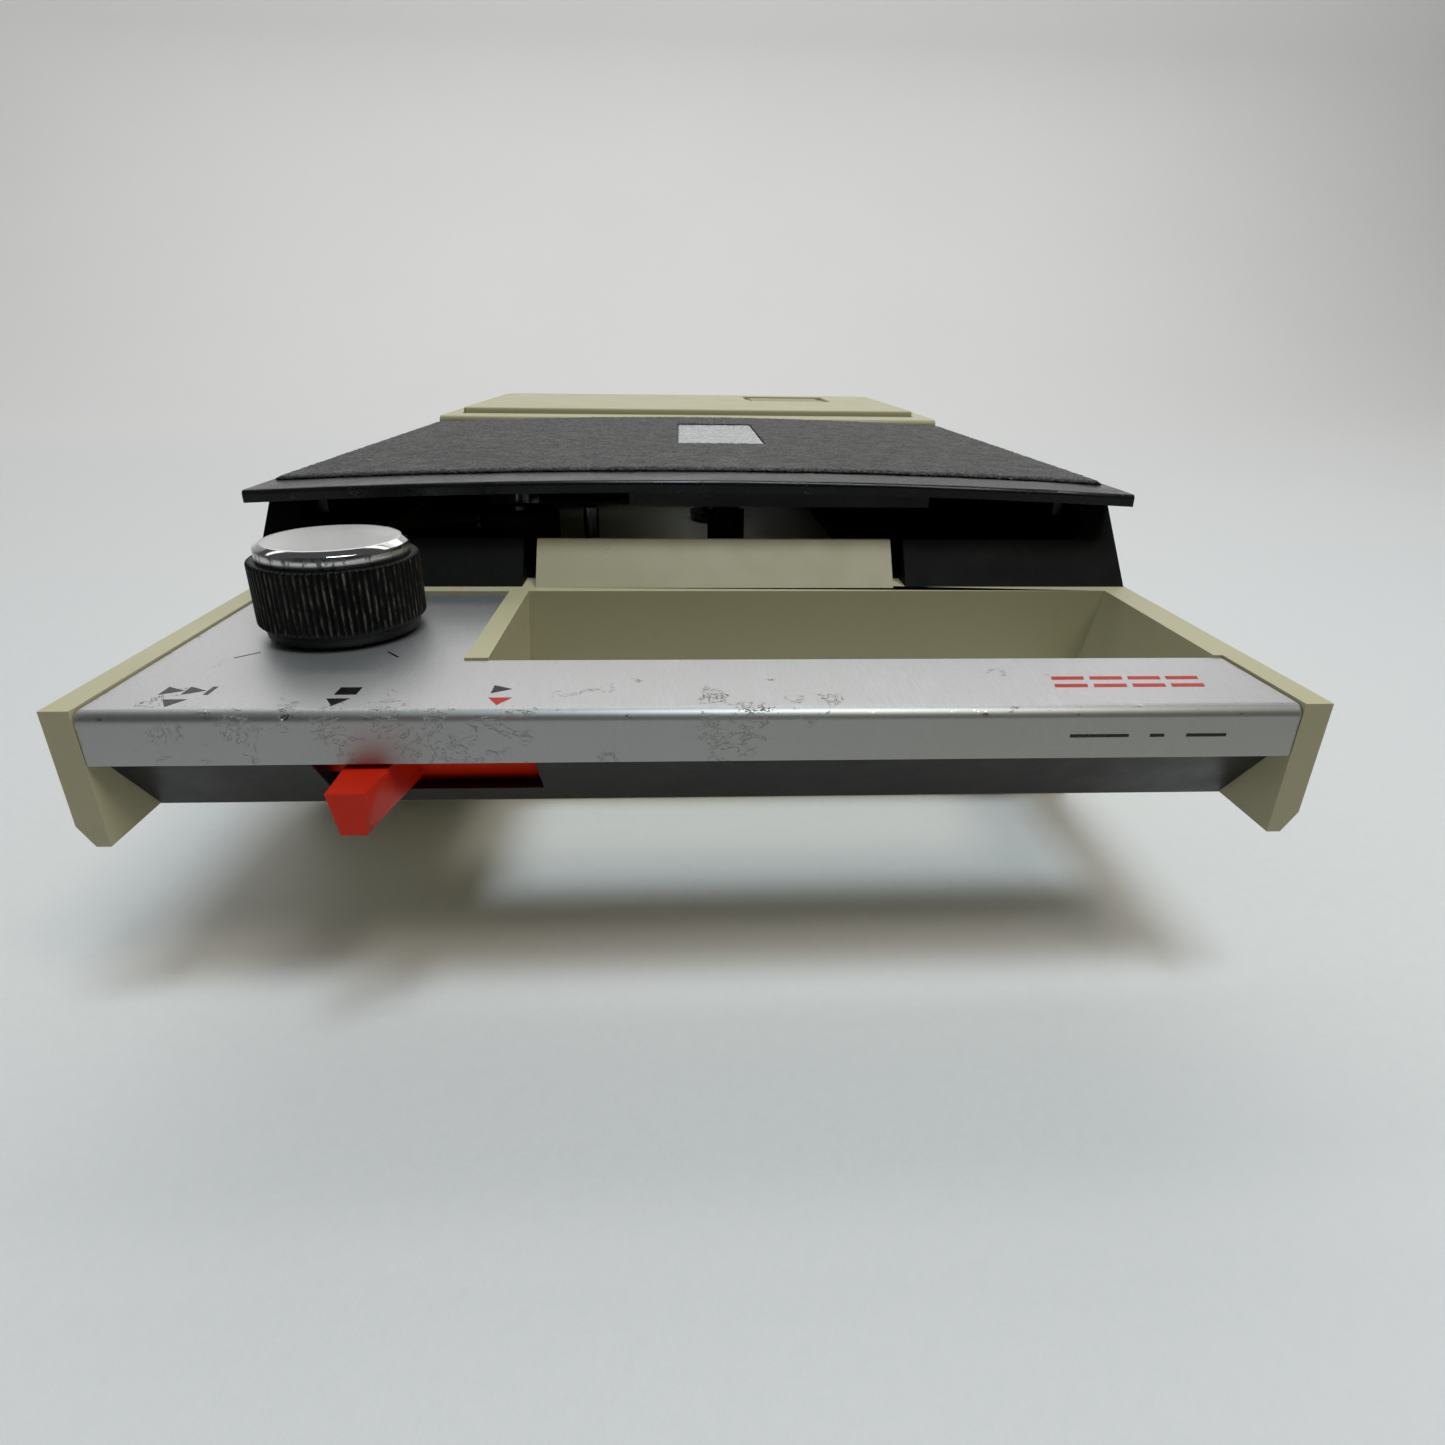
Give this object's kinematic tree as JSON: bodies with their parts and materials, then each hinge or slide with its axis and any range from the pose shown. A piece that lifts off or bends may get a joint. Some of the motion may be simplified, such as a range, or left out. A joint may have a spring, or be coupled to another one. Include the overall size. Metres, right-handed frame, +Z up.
{
  "type": "portable cassette player",
  "caption": "Portable battery cassette player with a moulded carry handle, arched hinged lid with window, round volume knob and sliding transport lever.",
  "frame": {"origin": "on the ground under the middle of the whole object, lever finger included", "axes": "+Z up, -Y towards the handle end, +X right when looking along +Y"},
  "size_m": [0.127, 0.227, 0.0539],
  "materials": {
    "ivory_plastic": "moulded, fine satin, slightly yellowed",
    "black_plastic": "semi-gloss moulded, scuffed edges",
    "leatherette": "embossed leather grain",
    "aluminium_plate": "brushed, worn and scratched",
    "spun_aluminium": "concentric turned face, bright bevel",
    "dark_panel": "satin dark grey",
    "red_plastic": "smooth moulded",
    "knob_plastic": "finely ribbed, dusty",
    "deck_paint": "smooth light paint",
    "clear_window": "polished clear plastic",
    "steel_sheet": "zinc plated",
    "steel_pin": "ground",
    "brass_bush": "turned",
    "black_rubber": "matt",
    "spring_metal": "rolled strip",
    "tray_plastic": "matt moulded",
    "battery_jacket": "printed metal jacket without lettering",
    "paper_cone": "pressed pulp",
    "ferrite": "sintered",
    "board_laminate": "phenolic paper laminate",
    "component_plastic": "moulded cases",
    "socket_plastic": "moulded",
    "head_metal": "polished screening can",
    "spindle_plastic": "moulded"
  },
  "bodies": {
    "case": {"lower_case": "ivory_plastic", "upper_frame": "black_plastic", "rear_housing": "ivory_plastic", "control_plate": "aluminium_plate", "front_panel": "dark_panel", "deck_plate": "deck_paint", "pivot_studs": "steel_pin", "deck_bushes": "brass_bush", "flywheel_bridge": "steel_sheet", "motor": "steel_sheet", "motor_bracket": "steel_sheet", "drive_belt": "black_rubber", "potentiometer": "steel_sheet", "battery_tray": "tray_plastic", "battery_cell_1": "battery_jacket", "battery_cell_2": "battery_jacket", "battery_cell_3": "battery_jacket", "battery_cell_4": "battery_jacket", "battery_contacts": "spring_metal", "speaker_basket": "steel_sheet", "speaker_cone": "paper_cone", "speaker_magnet": "ferrite", "amplifier_board": "board_laminate", "output_transformer": "ferrite", "board_components": "component_plastic", "output_socket": "socket_plastic", "supply_socket": "socket_plastic", "rubber_feet": "black_rubber", "case_screws": "steel_pin", "board_screws": "steel_pin"},
    "lid": {"lid_frame": "black_plastic", "lid_panel": "leatherette", "lid_window": "clear_window", "hinge_pins": "steel_pin", "cassette_springs": "spring_metal"},
    "battery_cover": {"battery_cover": "ivory_plastic"},
    "knob": {"volume_knob": "knob_plastic", "knob_cap": "spun_aluminium", "knob_shaft": "steel_pin"},
    "lever": {"transport_lever": "red_plastic"},
    "transfer": {"transfer_lever": "steel_sheet"},
    "head_plate": {"head_plate": "steel_sheet", "play_head": "head_metal", "head_screws": "steel_pin"},
    "pinch_arm": {"pinch_arm": "steel_sheet"},
    "pinch_roller": {"pinch_roller": "black_rubber"},
    "takeup": {"takeup_spindle": "spindle_plastic", "takeup_disc": "spindle_plastic"},
    "supply": {"supply_spindle": "spindle_plastic", "supply_disc": "spindle_plastic"},
    "idler": {"idler_wheel": "black_rubber"},
    "flywheel": {"flywheel": "brass_bush", "capstan": "steel_pin"},
    "motor_rotor": {"motor_pulley": "brass_bush"}
  },
  "joints": [
    {"name": "lid_hinge", "type": "hinge", "parent": "case", "child": "lid", "pos_m": [0, 0.0391, 0.0502], "axis": [-1, 0, 0], "range_deg": [0, 75]},
    {"name": "battery_cover_slide", "type": "slide", "parent": "case", "child": "battery_cover", "axis": [0, 1, 0], "range_m": [0, 0.04]},
    {"name": "volume_turn", "type": "hinge", "parent": "case", "child": "knob", "pos_m": [-0.0437, -0.0825, 0.04], "axis": [0, 0, 1], "range_deg": [-135, 135]},
    {"name": "lever_slide", "type": "slide", "parent": "case", "child": "lever", "axis": [1, 0, 0], "range_m": [-0.0039, 0.0125]},
    {"name": "transfer_pivot", "type": "hinge", "parent": "case", "child": "transfer", "pos_m": [-0.0485, -0.0245, 0.0255], "axis": [0, 0, 1], "range_deg": [-3.2, 10]},
    {"name": "head_slide", "type": "slide", "parent": "case", "child": "head_plate", "axis": [1, 0, 0], "range_m": [-0.0013, 0.0039]},
    {"name": "pinch_float", "type": "hinge", "parent": "head_plate", "child": "pinch_arm", "pos_m": [-0.03781, -0.025, 0.035], "axis": [0, 0, 1], "range_deg": [-4, 0], "stiffness_Nm_per_rad": 0.05, "springref_deg": 2.86},
    {"name": "pinch_roller_spin", "type": "hinge", "parent": "pinch_arm", "child": "pinch_roller", "pos_m": [-0.02931, -0.04, 0.04], "axis": [0, 0, 1], "continuous": true},
    {"name": "flywheel_spin", "type": "hinge", "parent": "case", "child": "flywheel", "pos_m": [-0.0175, -0.04, 0.024], "axis": [0, 0, 1], "continuous": true},
    {"name": "motor_spin", "type": "hinge", "parent": "case", "child": "motor_rotor", "pos_m": [0.038, -0.04, 0.024], "axis": [0, 0, 1], "continuous": true},
    {"name": "idler_spin", "type": "hinge", "parent": "case", "child": "idler", "pos_m": [-0.01628, -0.02826, 0.0294], "axis": [0, 0, 1], "continuous": true},
    {"name": "takeup_spin", "type": "hinge", "parent": "case", "child": "takeup", "pos_m": [0.0055, -0.02925, 0.036], "axis": [0, 0, 1], "continuous": true},
    {"name": "supply_spin", "type": "hinge", "parent": "case", "child": "supply", "pos_m": [0.0055, 0.01325, 0.036], "axis": [0, 0, 1], "continuous": true}
  ],
  "couplings": [
    {"joint": "transfer_pivot", "follows": "lever_slide", "rad_per_m": 13.68},
    {"joint": "head_slide", "follows": "lever_slide", "ratio": 0.30096},
    {"joint": "motor_spin", "follows": "flywheel_spin", "ratio": 6},
    {"joint": "idler_spin", "follows": "flywheel_spin", "ratio": -0.53333},
    {"joint": "takeup_spin", "follows": "flywheel_spin", "ratio": 0.28571}
  ]
}
